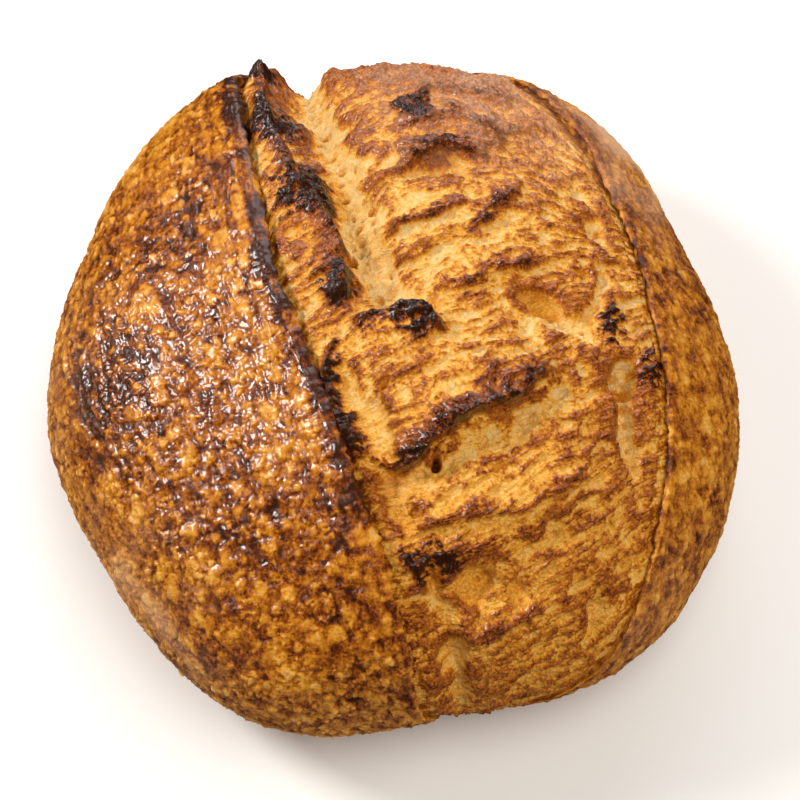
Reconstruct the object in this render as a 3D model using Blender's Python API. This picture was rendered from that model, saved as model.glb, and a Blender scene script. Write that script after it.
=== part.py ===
"""Country sourdough loaf: one round, free-standing loaf with a single long score that has burst open.

Run it with: blender --background --python part.py
Units are metres, +Z is up, and the origin is the centre of the bounding box on the surface the loaf stands on.
The loaf is seen from -Y: the raised ear runs from the back left to the front, and the torn bloom is to its right.
"""

import bpy
import bmesh
import numpy as np
from mathutils import Vector, noise

MM = 0.001

# The plain body, before it burst: a turned profile with a slightly uneven outline.
BELLY_RADIUS = 123.5 * MM
BELLY_HEIGHT = 40 * MM
CROWN_HEIGHT = 101 * MM
UNDERSIDE_DEPTH = 56 * MM
SHOULDER_FULLNESS = 2.25
UNDERSIDE_FULLNESS = 2.1
BODY_SHIFT_BACK = 9.5 * MM
# Each lobe of the outline: how many swells round the loaf, share of the radius, direction of the first in degrees.
OUTLINE_LOBES = ((1, 0.071, 92), (2, 0.034, -139), (3, 0.019, -64), (4, 0.016, -125), (5, 0.008, -142), (6, 0.017, 30))

# The loaf's skin is laid out flat from the crown: places on it are millimetres right (+X) and back (+Y),
# measured along the surface. The belly is about 150 mm out and the edge of the base about 209 mm.
EAR_LINE = (
    (-36, 166), (-52, 142), (-58, 112), (-54, 86), (-45, 31), (-33, -6), (-18, -46), (-6, -83), (3, -114), (8, -139),
    (22, -164),
)
RIGHT_LIP_LINE = (
    (-12, 172), (22, 146), (45, 120), (65, 89), (83, 50), (90, 5), (92, -30), (88, -64), (82, -100), (76, -131),
    (52, -162),
)
EAR_RISE = 6.5 * MM
EAR_SPREAD = 15 * MM
EAR_CREST = 2.2 * MM
EAR_LEAN = 1.5 * MM
EAR_SLIT_DEPTH = 2.5 * MM
EAR_SLIT_OFFSET = 5.5 * MM
EAR_SLIT_HALF_WIDTH = 2.2 * MM
LIP_RISE = 2.6 * MM
LIP_SPREAD = 8 * MM
LIP_CREST = 1.5 * MM
LIP_EDGE = 5.0 * MM
STRIP_SINK = 1.0 * MM
BLOOM_SWELL = 5.0 * MM
BLOOM_SWELL_RADIUS = 62
BLOOM_CENTRE = (32, -6)
BASE_FADE = 16 * MM

# Broad swells of the whole skin: centre, radius, rise.
SWELLS = (((92, 104), 34, 2.0), ((-42, -152), 42, 2.2), ((-112, -88), 34, 1.0), ((0, 132), 46, -1.8))

# Valleys of the bloom, where it tore last: line, depth, half width.
VALLEYS = (
    (((-22, 176), (-31, 150), (-34, 128), (-28, 100), (-20, 71), (-14, 48), (-7, 24), (0, 10)), 10.0, 7.5),
    (((-15, -16), (-10, -27), (-2, -40), (1, -56), (8, -70)), 4.5, 5.0),
    (((13, -84), (19, -102), (25, -123), (29, -146)), 5.5, 6.0),
    (((64, 62), (73, 40), (75, 22), (66, 8)), 4.5, 5.5),
    (((74, 0), (77, -14), (79, -32), (80, -50), (76, -77), (70, -104)), 5.0, 5.0),
)
# Folds of the bloom: line with the steep side on its right, rise, width of the gentle side, width of the steep side.
FOLDS = (
    (((-11, -2), (-16, 12), (-18, 30), (-27, 47), (-37, 69), (-44, 95), (-46, 124), (-38, 150)), 5.4, 12, 2.8),
    (((-18, -4), (-19, -22), (-14, -36), (-7, -46)), 4.2, 10, 2.5),
    (((18, -6), (7, 3), (-4, 0), (-16, -5)), 5.5, 12, 3.0),
    (((-8, -44), (3, -46), (12, -38), (25, -29), (38, -22), (53, -11)), 8.0, 20, 2.6),
    (((3, 95), (13, 101), (27, 103), (43, 96)), 3.4, 9, 4),
    (((-1, 76), (9, 84), (20, 86), (32, 82), (43, 76)), 4.6, 9, 3.5),
    (((1, 60), (8, 68), (16, 73), (24, 70), (33, 64)), 5.8, 9, 2.6),
    (((-7, 30), (3, 38), (13, 42), (28, 48)), 4.4, 8, 3.0),
    (((22, 37), (34, 48), (46, 59)), 4.0, 8, 3.2),
    (((-3, 22), (8, 29), (19, 33), (33, 36)), 3.4, 7, 3.0),
    (((15, 13), (29, 19), (41, 24), (53, 27)), 4.0, 9, 3.0),
    (((1, -72), (12, -67), (29, -63), (45, -58), (58, -50), (72, -37)), 4.4, 10, 4),
    (((13, -79), (29, -74), (45, -67), (60, -58)), 3.0, 7, 3.5),
    (((16, -112), (31, -107), (44, -98), (54, -89)), 3.6, 9, 4),
)
# Open bubbles and hollows: centre, half length along the direction, half width, direction in degrees, depth.
HOLLOWS = (
    ((16, 64), 13, 4.5, 5, 5.5),
    ((51, 10), 9, 6, -20, 5.0),
    ((60, 1), 6, 4, -20, 2.5),
    ((43, -30), 6, 5, 60, 3.5),
    ((78, -16), 5, 4, 80, 4.0),
    ((-13, 27), 4, 3, 70, 3.0),
    ((1, -54), 5, 4, 0, 3.0),
    ((30, -87), 8, 8, 0, 4.5),
    ((46, -89), 8, 7, 0, 3.5),
    ((14, -90), 7, 4, 80, 3.0),
    ((24, -118), 8, 5, 80, 3.0),
    ((55, -68), 6, 4, 0, 2.5),
)
# Charred crags that stick up where the bloom tore: centre, radius, rise.
CRAGS = (
    ((-41, 84), 7, 3.0),
    ((-30, 55), 7, 3.5),
    ((-18, 16), 6, 3.0),
    ((6, 0), 6, 2.5),
    ((72, 5), 6, 2.5),
    ((6, 93), 6, 2.0),
    ((12, -80), 6, 2.5),
    ((88, -8), 6, 1.5),
    ((-47, 118), 5, 2.5),
)
CRAG_GRAIN = 5 * MM
WAVE_RISE = 1.2 * MM
WAVE_LENGTH = 17 * MM
TEAR_RISE = 0.8 * MM
TEAR_LENGTH = 7 * MM
DOME_WAVE_RISE = 1.0 * MM
DOME_WAVE_LENGTH = 34 * MM

# How finely the skin is first laid out, and what is kept of it.
SKIN_RINGS = 120
KEPT_TRIANGLES = 9800
FLAT_BAND = 0.08 * MM

CRUST_COLOUR = (0.42, 0.19, 0.055)
CRUST_ROUGHNESS = 0.5


def clear_scene():
    for thing in list(bpy.data.objects):
        bpy.data.objects.remove(thing)


def smooth_step(low, high, value):
    share = np.clip((value - low) / (high - low), 0, 1)
    return share * share * (3 - 2 * share)


def body_profile(steps=400):
    """The turned profile from the crown down to the base: distance along it, radius and height."""
    turn = np.linspace(0, np.pi / 2, steps)
    upper_power, lower_power = 2 / SHOULDER_FULLNESS, 2 / UNDERSIDE_FULLNESS
    upper = BELLY_RADIUS * np.sin(turn) ** upper_power
    upper_height = BELLY_HEIGHT + (CROWN_HEIGHT - BELLY_HEIGHT) * np.cos(turn) ** upper_power
    foot_turn = np.arcsin((BELLY_HEIGHT / UNDERSIDE_DEPTH) ** (1 / lower_power))
    turn = np.linspace(0, foot_turn, steps)[1:]
    radius = np.concatenate([upper, BELLY_RADIUS * np.cos(turn) ** lower_power])
    height = np.concatenate([upper_height, BELLY_HEIGHT - UNDERSIDE_DEPTH * np.sin(turn) ** lower_power])
    height[-1] = 0
    along = np.concatenate([[0], np.cumsum(np.hypot(np.diff(radius), np.diff(height)))])
    return along, radius, height


ALONG, RADIUS, HEIGHT = body_profile()
SKIN_RADIUS = ALONG[-1]


def body_point(skin):
    """Points of the plain body under places on its flattened skin, both as rows."""
    out = np.hypot(skin[:, 0], skin[:, 1])
    direction = np.arctan2(skin[:, 1], skin[:, 0])
    radius = np.interp(out, ALONG, RADIUS)
    height = np.interp(out, ALONG, HEIGHT)
    swell = sum(share * np.cos(count * direction - np.radians(start)) for count, share, start in OUTLINE_LOBES)
    radius = radius * (1 + swell * np.clip(radius / BELLY_RADIUS, 0, 1) ** 2)
    return np.stack([radius * np.cos(direction), radius * np.sin(direction) - BODY_SHIFT_BACK, height], axis=1)


def body_normal(skin):
    reach = 0.3 * MM
    right, back = np.array([reach, 0.0]), np.array([0.0, reach])
    across = body_point(skin + right) - body_point(skin - right)
    ahead = body_point(skin + back) - body_point(skin - back)
    normal = np.cross(across, ahead)
    return normal / np.linalg.norm(normal, axis=1, keepdims=True)


def smooth_line(knots_mm, steps=8):
    """A smooth curve through a few places on the skin, as rows in metres."""
    knots = np.array(knots_mm, float) * MM
    knots = np.vstack([2 * knots[0] - knots[1], knots, 2 * knots[-1] - knots[-2]])
    share = np.linspace(0, 1, steps, endpoint=False)[:, None]
    rows = []
    for a, b, c, d in zip(knots, knots[1:], knots[2:], knots[3:]):
        rows.append(
            0.5 * (2 * b + (c - a) * share + (2 * a - 5 * b + 4 * c - d) * share**2 + (3 * b - a - 3 * c + d) * share**3)
        )
    return np.vstack(rows + [knots[-2:-1]])


def beside_line(skin, line):
    """For each place: distance to the line, positive on its left, share of the way along, and the line's left there."""
    nearest = np.full(len(skin), np.inf)
    side = np.zeros(len(skin))
    share = np.zeros(len(skin))
    left = np.zeros((len(skin), 2))
    count = len(line) - 1
    for index in range(count):
        step = line[index + 1] - line[index]
        offset = skin - line[index]
        part = np.clip(offset @ step / (step @ step), 0, 1)
        away = offset - part[:, None] * step
        distance = np.hypot(away[:, 0], away[:, 1])
        closer = distance < nearest
        leftward = np.array([-step[1], step[0]]) / np.hypot(*step)
        nearest[closer] = distance[closer]
        side[closer] = np.where(away[closer] @ leftward < 0, -1, 1)
        share[closer] = (index + part[closer]) / count
        left[closer] = leftward
    return nearest * side, share, left


def inside_outline(skin, outline):
    """True for the places inside a closed outline."""
    inside = np.zeros(len(skin), bool)
    for start, end in zip(outline, np.roll(outline, -1, axis=0)):
        spans = (start[1] > skin[:, 1]) != (end[1] > skin[:, 1])
        rise = end[1] - start[1]
        crossing = start[0] + (skin[:, 1] - start[1]) * (end[0] - start[0]) / (rise if rise else 1)
        inside ^= spans & (skin[:, 0] < crossing)
    return inside


def tapered(share):
    """Full height along the middle of a line, running out at both ends."""
    return np.clip(np.sin(np.pi * np.clip(share, 0.02, 0.98)) * 1.6, 0, 1)


def rounded_fall(distance, crest, spread):
    """1 on a line and less away from it, with a rounded crest."""
    return np.exp(-(np.sqrt(distance**2 + crest**2) - crest) / spread)


def wave(skin, length, seed):
    """Smooth uneven rise and fall from -1 to 1 over the skin."""
    return np.array([noise.noise(Vector((x / length, y / length, seed))) for x, y in skin])


def bump(skin, centre, radius):
    """A round swell of height 1 over a place given in millimetres."""
    return np.exp(-np.sum((skin - np.array(centre) * MM) ** 2, axis=1) / (radius * MM) ** 2)


def bloom_relief(skin):
    """Height of the torn crumb over the plain body: swell, valleys, folds, crags and open bubbles."""
    height = BLOOM_SWELL * bump(skin, BLOOM_CENTRE, BLOOM_SWELL_RADIUS) - STRIP_SINK
    for knots, depth, half_width in VALLEYS:
        distance, share, _ = beside_line(skin, smooth_line(knots))
        height -= depth * MM * tapered(0.15 + 0.7 * share) * np.exp(-((distance / (half_width * MM)) ** 2))
    for knots, rise, gentle, steep in FOLDS:
        distance, share, _ = beside_line(skin, smooth_line(knots))
        width = np.where(distance > 0, gentle, steep) * MM
        height += rise * MM * tapered(share) * np.exp(-((distance / width) ** 2))
    grain = 1 + 0.9 * wave(skin, CRAG_GRAIN, 21.3)
    for centre, radius, rise in CRAGS:
        height += rise * MM * grain * bump(skin, centre, radius)
    for middle, half_length, half_width, direction, depth in HOLLOWS:
        offset = skin - np.array(middle) * MM
        turn = np.radians(direction)
        along = offset @ np.array([np.cos(turn), np.sin(turn)]) / (half_length * MM)
        across = offset @ np.array([-np.sin(turn), np.cos(turn)]) / (half_width * MM)
        height -= depth * MM * np.exp(-((along**2 + across**2) ** 1.5))
    return height + WAVE_RISE * wave(skin, WAVE_LENGTH, 3.7) + TEAR_RISE * wave(skin, TEAR_LENGTH, 6.4)


def loaf_relief(skin):
    """Height over the plain body, and how far the ear's lip leans to the right, for each place on the skin."""
    ear, lip = smooth_line(EAR_LINE), smooth_line(RIGHT_LIP_LINE)
    ear_distance, ear_share, ear_left = beside_line(skin, ear)
    lip_distance, lip_share, _ = beside_line(skin, lip)
    ear_distance, lip_distance = np.abs(ear_distance), np.abs(lip_distance)
    inside = inside_outline(skin, np.vstack([ear, lip[::-1]]))
    to_edge = np.where(inside, 1, -1) * np.minimum(ear_distance, lip_distance)
    ear_rise = EAR_RISE * tapered(ear_share) * rounded_fall(ear_distance, EAR_CREST, EAR_SPREAD)
    lip_rise = LIP_RISE * tapered(lip_share) * rounded_fall(lip_distance, LIP_CREST, LIP_SPREAD)
    crust = np.maximum(ear_rise, lip_rise) + DOME_WAVE_RISE * wave(skin, DOME_WAVE_LENGTH, 9.1)
    from_slit = (ear_distance - EAR_SLIT_OFFSET) / EAR_SLIT_HALF_WIDTH
    slit = EAR_SLIT_DEPTH * tapered(ear_share) * np.exp(-(from_slit**2))
    opened = smooth_step(0, LIP_EDGE, to_edge)
    height = crust * (1 - opened) + (bloom_relief(skin) - slit) * opened
    for centre, radius, rise in SWELLS:
        height += rise * MM * bump(skin, centre, radius)
    lean = EAR_LEAN * tapered(ear_share) * np.exp(-((ear_distance / (3 * MM)) ** 2))
    fade = 1 - smooth_step(SKIN_RADIUS - BASE_FADE, SKIN_RADIUS - 2 * MM, np.hypot(*skin.T))
    return height * fade, ear_left * (lean * fade)[:, None]


def skin_grid():
    """Places on the flattened skin, ring by ring, and the four-sided faces between them.

    A square grid is pressed round, so that ring k holds 8k places and all the faces are of like size.
    """
    steps = np.arange(-SKIN_RINGS, SKIN_RINGS + 1)
    right, back = np.meshgrid(steps, steps, indexing="ij")
    ring = np.maximum(np.abs(right), np.abs(back))
    wide = np.abs(right) >= np.abs(back)
    safe_right, safe_back = np.where(right == 0, 1, right), np.where(back == 0, 1, back)
    turn = np.where(wide, np.pi / 4 * back / safe_right, np.pi / 2 - np.pi / 4 * right / safe_back)
    signed = np.where(wide, right, back) * SKIN_RADIUS / SKIN_RINGS
    skin = np.stack([(signed * np.cos(turn)).ravel(), (signed * np.sin(turn)).ravel()], axis=1)
    index = np.arange(len(skin)).reshape(ring.shape)
    quads = np.stack([index[:-1, :-1], index[1:, :-1], index[1:, 1:], index[:-1, 1:]], axis=-1).reshape(-1, 4)
    rim = np.concatenate([index[0, :-1], index[:-1, -1], index[-1, :0:-1], index[:0:-1, 0]])
    return skin, quads, rim


def loaf_mesh():
    """The closed loaf: the risen skin, and the flat base that its rim stands on."""
    skin, quads, rim = skin_grid()
    height, lean = loaf_relief(skin)
    moved = skin + lean
    points = body_point(moved) + body_normal(moved) * height[:, None]
    points[:, 2] = np.maximum(points[:, 2], 0)
    mesh = bpy.data.meshes.new("loaf")
    mesh.from_pydata(points.tolist(), [], quads.tolist() + [rim.tolist()])
    shape = bmesh.new()
    shape.from_mesh(mesh)
    bmesh.ops.recalc_face_normals(shape, faces=shape.faces)
    bmesh.ops.triangulate(shape, faces=shape.faces)
    shape.to_mesh(mesh)
    shape.free()
    return mesh


def thin_out(loaf):
    """Keeps the triangles where the relief needs them, then lays the base flat again."""
    spare = loaf.modifiers.new("fewer_triangles", "DECIMATE")
    spare.ratio = KEPT_TRIANGLES / len(loaf.data.polygons)
    evaluated = loaf.evaluated_get(bpy.context.evaluated_depsgraph_get())
    kept = bpy.data.meshes.new_from_object(evaluated)
    loaf.modifiers.remove(spare)
    loaf.data = kept
    for vertex in kept.vertices:
        if vertex.co.z < FLAT_BAND:
            vertex.co.z = 0


def centre_on_base(loaf):
    """Puts the middle of the bounding box over the origin."""
    corners = np.array([corner[:] for corner in loaf.bound_box])
    middle = (corners.min(axis=0) + corners.max(axis=0)) / 2
    for vertex in loaf.data.vertices:
        vertex.co.x -= middle[0]
        vertex.co.y -= middle[1]


def crust_material():
    material = bpy.data.materials.new("baked_crust")
    material.use_nodes = True
    shader = material.node_tree.nodes["Principled BSDF"]
    shader.inputs["Base Color"].default_value = (*CRUST_COLOUR, 1)
    shader.inputs["Roughness"].default_value = CRUST_ROUGHNESS
    shader.inputs["Metallic"].default_value = 0
    return material


def build_loaf():
    loaf = bpy.data.objects.new("loaf", loaf_mesh())
    bpy.context.scene.collection.objects.link(loaf)
    bpy.context.view_layer.update()
    thin_out(loaf)
    bpy.context.view_layer.update()
    centre_on_base(loaf)
    loaf.data.materials.append(crust_material())
    loaf.data.shade_smooth()
    return loaf


clear_scene()
build_loaf()
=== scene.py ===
"""Looks of the country sourdough loaf: blistered crust with its raised ear, torn bloom and floured underside.

The skin of the loaf is laid out flat from its crown. Places on it are millimetres right (+X) and back (+Y),
measured along the surface. Each piece is a patch of that skin, raised by its relief and closed inside.
"""

import math

import bpy
import numpy as np
from bpy.props import FloatProperty, FloatVectorProperty, IntProperty, PointerProperty
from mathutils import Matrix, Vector


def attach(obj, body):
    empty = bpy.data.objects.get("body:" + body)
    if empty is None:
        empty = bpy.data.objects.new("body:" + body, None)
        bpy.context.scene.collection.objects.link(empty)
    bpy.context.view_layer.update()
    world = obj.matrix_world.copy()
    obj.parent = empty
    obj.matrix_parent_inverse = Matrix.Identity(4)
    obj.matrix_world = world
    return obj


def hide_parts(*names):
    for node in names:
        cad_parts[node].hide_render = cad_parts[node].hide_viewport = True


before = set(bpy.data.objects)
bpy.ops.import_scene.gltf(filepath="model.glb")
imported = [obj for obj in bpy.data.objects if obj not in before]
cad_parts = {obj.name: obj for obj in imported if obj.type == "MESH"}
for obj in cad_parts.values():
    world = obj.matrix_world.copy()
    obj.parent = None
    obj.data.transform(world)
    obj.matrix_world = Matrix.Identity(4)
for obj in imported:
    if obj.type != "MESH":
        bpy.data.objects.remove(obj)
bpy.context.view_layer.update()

bl_info = {
    "name": "Country sourdough loaf",
    "version": (1, 0, 0),
    "blender": (4, 5, 0),
    "location": "3D View > Sidebar > Loaf",
    "description": "Builds a loaf's blistered crust, torn bloom and floured underside, and its stage",
    "category": "Object",
}

MM = 0.001
NODE, BODY, SLOT = "loaf", "root", "crust"

# The plain body before it burst, as in the solid.
BELLY_RADIUS = 123.5 * MM
BELLY_HEIGHT = 40 * MM
CROWN_HEIGHT = 101 * MM
UNDERSIDE_DEPTH = 56 * MM
SHOULDER_FULLNESS = 2.25
UNDERSIDE_FULLNESS = 2.1
BODY_SHIFT = (0.15 * MM, -8.32 * MM)
# Lobes of the outline: how many go round, share of the radius, direction in degrees.
OUTLINE_LOBES = (
    (1, 0.071, 92), (2, 0.034, -139), (3, 0.019, -64), (4, 0.016, -125), (5, 0.008, -142), (6, 0.017, 30),
)

EAR_LINE = (
    (-37, 174), (-52, 142), (-58, 112), (-54, 86), (-45, 31), (-33, -6),
    (-18, -46), (-6, -83), (3, -114), (8, -139), (28, -176),
)
RIGHT_LIP_LINE = (
    (-14, 177), (22, 146), (45, 120), (65, 89), (85, 50), (93, 5),
    (95, -30), (91, -64), (84, -100), (76, -131), (53, -170),
)
# Cross-section of a lip, from its crest over the opening and back under, in shares of its thickness.
LIP_SECTION = ((0, 0), (0.45, -0.05), (0.85, -0.35), (0.95, -0.75), (0.7, -1.1), (0.2, -1.35), (-0.6, -1.6))
LIP_LENGTH = 340
# Directions round the seam where the crust's halves end: lip's back end, two corners, lip's front end.
LEFT_SEAM = (102, 150, 230, 279)
RIGHT_SEAM = (94.5, 52, -25, -72.7)
# Places inside the loaf where its pieces close, one for each piece.
LEFT_INSIDE = ((-50, 40, 50), (-45, -50, 50))
RIGHT_INSIDE = ((72, -10, 45),)
BLOOM_INSIDE = ((5, 70, 50), (28, -10, 55), (40, -80, 50))
# Rows for each column of a patch, which keep its cells nearly square.
LEFT_ROWS, RIGHT_ROWS, BLOOM_ROWS = 2.5, 4.1, 3.2
# Columns of the right half of the crust, as a share of the left half's.
RIGHT_COLUMNS = 0.55
# Place that the camera and the lights face.
MIDDLE = (2.6 * MM, BODY_SHIFT[1], 45 * MM)

# Broad swells of the crust: centre, radius, rise.
SWELLS = (((92, 104), 34, 2), ((-42, -152), 42, 2.2), ((-112, -88), 34, 1), ((0, 132), 46, -1.8))
# Valleys, where the bloom tore last: line, depth, half width, how pale.
VALLEYS = (
    (
        ((-22, 176), (-31, 150), (-34, 128), (-28, 100), (-20, 71), (-14, 48), (-7, 24), (0, 10)),
        10, 7, 1,
    ),
    (((-15, -16), (-10, -27), (-2, -40), (1, -56), (8, -70)), 4.5, 4, 0.55),
    (((13, -84), (19, -102), (25, -123), (29, -146)), 4.5, 4.5, 0.35),
    (((64, 62), (73, 40), (75, 22), (66, 8)), 4.5, 3.2, 0.75),
    (((74, 0), (77, -14), (79, -32), (80, -50), (76, -77), (70, -104)), 5.5, 3.4, 0.75),
    (((-2, -54), (14, -50), (28, -41), (42, -33), (54, -22)), 3.5, 5, 0.45),
    (((44, 4), (54, 6), (66, 4)), 3, 5, 0.8),
)
# Folds: line with the steep side on its right, rise, gentle width, steep width, how charred its crest is.
FOLDS = (
    (
        ((-11, -2), (-16, 12), (-18, 30), (-27, 47), (-37, 69), (-44, 95), (-46, 124), (-38, 150)),
        5.4, 12, 2.8, 0.2,
    ),
    (((-18, -4), (-19, -22), (-14, -36), (-7, -46)), 4.8, 10, 2.5, 0.5),
    (((18, -6), (7, 3), (-4, 0), (-16, -5)), 5.5, 12, 3, 0.35),
    (((-8, -44), (3, -46), (12, -38), (25, -29), (38, -22), (53, -11)), 8, 20, 2.6, 0.42),
    (((3, 95), (13, 101), (27, 103), (43, 96)), 3.4, 9, 4, 0.1),
    (((-1, 76), (9, 84), (20, 86), (32, 82), (43, 76)), 4.6, 9, 3.5, 0.15),
    (((1, 60), (8, 68), (16, 73), (24, 70), (33, 64)), 5.8, 9, 2.6, 0.25),
    (((-7, 30), (3, 38), (13, 42), (28, 48)), 4.4, 8, 3, 0.15),
    (((22, 37), (34, 48), (46, 59)), 4, 8, 3.2, 0.15),
    (((-3, 22), (8, 29), (19, 33), (33, 36)), 3.4, 7, 3, 0.05),
    (((15, 13), (29, 19), (41, 24), (53, 27)), 4, 9, 3, 0.15),
    (((1, -72), (12, -67), (29, -63), (45, -58), (58, -50), (72, -37)), 4.4, 10, 4, 0.1),
    (((13, -79), (29, -74), (45, -67), (60, -58)), 3, 7, 3.5, 0.1),
    (((16, -112), (31, -107), (44, -98), (54, -89)), 3.6, 9, 4, 0.1),
)
# Crags: centre, radius, rise.
CRAGS = (
    ((-42, 83), 9, 3.2), ((-28, 54), 10, 3.5), ((-18, 16), 6, 3), ((6, 0), 6, 2.5), ((72, 5), 6, 2.5),
    ((6, 93), 6, 2), ((12, -80), 8, 3), ((88, -8), 6, 1.5), ((-47, 116), 5, 2.5),
)
# Soft hollows: centre, half length along the direction, half width, direction in degrees, depth.
HOLLOWS = (
    ((16, 63), 12, 3.6, 6, 5), ((60, 2), 6, 4, -20, 3), ((43, -30), 6, 5, 60, 4),
    ((78, -16), 5, 4, 80, 4), ((1, -54), 5, 4, 0, 3), ((36, -88), 14, 9, 0, 2.5),
    ((14, -90), 7, 4, 80, 3), ((24, -118), 8, 5, 80, 3), ((55, -68), 6, 4, 0, 2.5),
)
# Sharp-edged holes, given in the same way; the deep narrow ones are drawn darker inside as painted shade.
HOLES = (
    ((49, 11), 8.5, 5, -18, 6.5), ((63, 25), 3.4, 1.8, 20, 3), ((21, 35), 3.2, 1.7, 0, 2),
    ((12, 7), 4.2, 3.4, 60, 3.5), ((-14, 28), 3.2, 2.2, 70, 5), ((-12, 16), 2, 1.4, 70, 3),
    ((-1, -21), 2.2, 1.5, 60, 3), ((14, -47), 3.4, 1.7, 75, 7), ((78, -17), 3.4, 2.2, 80, 4),
    ((80, 34), 3, 1.6, 70, 3), ((23, -112), 3.4, 2, 80, 3.5), ((8, -62), 2.2, 1.6, 30, 3),
    ((28, -88), 8, 6, 85, 4), ((43, -91), 6.5, 4.5, 95, 3), ((-8, 46), 2.2, 1.6, 60, 3),
    ((34, -48), 2.6, 1.6, 40, 2.5),
)
# Places of the bloom that stayed pale or browned more: centre, radius, how much browner.
BLOOM_TONES = (
    ((-32, 40), 22, 0.25), ((-44, 100), 22, 0.16), ((-26, -2), 16, 0.16), ((30, 112), 30, 0.13),
    ((14, 34), 22, -0.19), ((2, 44), 14, -0.12), ((50, 10), 8, -0.25), ((62, 0), 12, -0.16),
    ((34, -36), 18, 0.16), ((-4, -52), 12, 0.02), ((20, 82), 32, 0.34), ((12, 124), 26, 0.44),
    ((54, 118), 24, 0.06), ((-16, 120), 12, 0.1), ((44, -124), 34, 0.05), ((62, -80), 22, 0.08),
    ((16, -150), 26, 0.1), ((32, -62), 20, -0.2), ((34, -96), 18, 0.14), ((29, -88), 7, -0.22),
    ((-8, -20), 18, 0.1), ((12, 54), 14, 0.12), ((0, -30), 13, 0.1), ((-12, 24), 10, -0.15),
    ((88, -20), 10, 0.1), ((86, 40), 9, 0.1), ((88, -60), 9, 0.1),
)
# Places of the crust that scorched or stayed lighter: centre, radius, how much darker.
CRUST_TONES = (
    ((-98, -14), 24, 0.32), ((-82, 50), 20, 0.14), ((-80, 96), 32, -0.17), ((-58, 124), 22, 0.26),
    ((-50, -70), 34, 0.06), ((-60, 10), 26, -0.08), ((-110, -50), 40, -0.06), ((104, -30), 60, -0.14),
    ((-20, -140), 34, -0.04), ((-20, -50), 16, -0.1),
)
# Places of the crust with a haze of flour, which also stands for painted sheen at its grazing edges: centre,
# radius, amount.
FLOUR_AND_SHEEN_SPOTS = (
    ((-58, 130), 24, 0.35), ((-108, -105), 45, 0.6), ((94, 98), 42, 0.8), ((-140, 0), 42, 0.4),
    ((100, -95), 34, 0.3),
)
# Waves that make torn lines ragged: length and reach in millimetres.
RAGGED = ((15, 2.4), (5.5, 1.1), (2.2, 0.45))
# How brown each colour of the crust and of the torn crumb is.
CRUST_STOPS = (
    (0.0, "crust_pale"), (0.25, "crust_gold"), (0.5, "crust_amber"), (0.7, "crust_red"), (0.86, "crust_dark"),
    (1.0, "char"),
)
BLOOM_STOPS = (
    (0.0, "crumb"), (0.17, "crumb_gold"), (0.29, "honey"), (0.42, "toasted"), (0.58, "torn_amber"),
    (0.76, "torn_red"), (0.9, "crust_dark"), (1.0, "char"),
)
# Large odd numbers that shuffle whole numbers into even random ones.
SHUFFLE = (374761393, 668265263, 1442695041, 1274126177, 2246822519)
LOW_BITS = 0xFFFFFFFF


def in_rows(*columns):
    return np.stack(columns, axis=1)


def bell(value, power=2):
    """1 at zero and less on both sides, flatter and steeper with a larger power."""
    return np.exp(-(value**power))


def smooth_step(low, high, value):
    share = np.clip((value - low) / (high - low), 0, 1)
    return share * share * (3 - 2 * share)


def body_profile(steps=400):
    """The turned profile from the crown down to the base: distance along it, radius and height."""
    turn = np.linspace(0, np.pi / 2, steps)
    upper_power, lower_power = 2 / SHOULDER_FULLNESS, 2 / UNDERSIDE_FULLNESS
    upper = BELLY_RADIUS * np.sin(turn) ** upper_power
    upper_height = BELLY_HEIGHT + (CROWN_HEIGHT - BELLY_HEIGHT) * np.cos(turn) ** upper_power
    foot_turn = np.arcsin((BELLY_HEIGHT / UNDERSIDE_DEPTH) ** (1 / lower_power))
    turn = np.linspace(0, foot_turn, steps)[1:]
    radius = np.concatenate([upper, BELLY_RADIUS * np.cos(turn) ** lower_power])
    height = np.concatenate([upper_height, BELLY_HEIGHT - UNDERSIDE_DEPTH * np.sin(turn) ** lower_power])
    height[-1] = 0
    along = np.concatenate([[0], np.cumsum(np.hypot(np.diff(radius), np.diff(height)))])
    return along, radius, height


ALONG, RADIUS, HEIGHT = body_profile()
SKIN_RADIUS = ALONG[-1]
SEAM_RADIUS = 178 * MM
SEAM_OVERLAP = 4 * MM
SEAM_STEP = 0.4 * MM
SKIRT_DEPTH = 20 * MM
# Width of skin that the crust's UV map covers.
UV_SPAN = 0.4


def body_point(skin):
    """Points of the plain body under places on its flattened skin, both as rows."""
    out = np.hypot(skin[:, 0], skin[:, 1])
    direction = np.arctan2(skin[:, 1], skin[:, 0])
    radius = np.interp(out, ALONG, RADIUS)
    height = np.interp(out, ALONG, HEIGHT)
    lobes = (share * np.cos(count * direction - np.radians(start)) for count, share, start in OUTLINE_LOBES)
    radius = radius * (1 + sum(lobes) * np.clip(radius / BELLY_RADIUS, 0, 1) ** 2)
    return in_rows(
        radius * np.cos(direction) + BODY_SHIFT[0], radius * np.sin(direction) + BODY_SHIFT[1], height
    )


def unit(rows):
    return rows / np.maximum(np.linalg.norm(rows, axis=1, keepdims=True), 1e-12)


def body_normal(skin):
    reach = 0.3 * MM
    right, back = np.array([reach, 0.0]), np.array([0.0, reach])
    across = body_point(skin + right) - body_point(skin - right)
    ahead = body_point(skin + back) - body_point(skin - back)
    return unit(np.cross(across, ahead))


def smooth_line(knots_mm, steps=8):
    """A smooth curve through a few places on the skin, as rows in metres."""
    knots = np.array(knots_mm, float) * MM
    knots = np.vstack([2 * knots[0] - knots[1], knots, 2 * knots[-1] - knots[-2]])
    share = np.linspace(0, 1, steps, endpoint=False)[:, None]
    rows = []
    for a, b, c, d in zip(knots, knots[1:], knots[2:], knots[3:]):
        bend, twist = 2 * a - 5 * b + 4 * c - d, 3 * b - a - 3 * c + d
        rows.append(0.5 * (2 * b + (c - a) * share + bend * share**2 + twist * share**3))
    return np.vstack(rows + [knots[-2:-1]])


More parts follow.
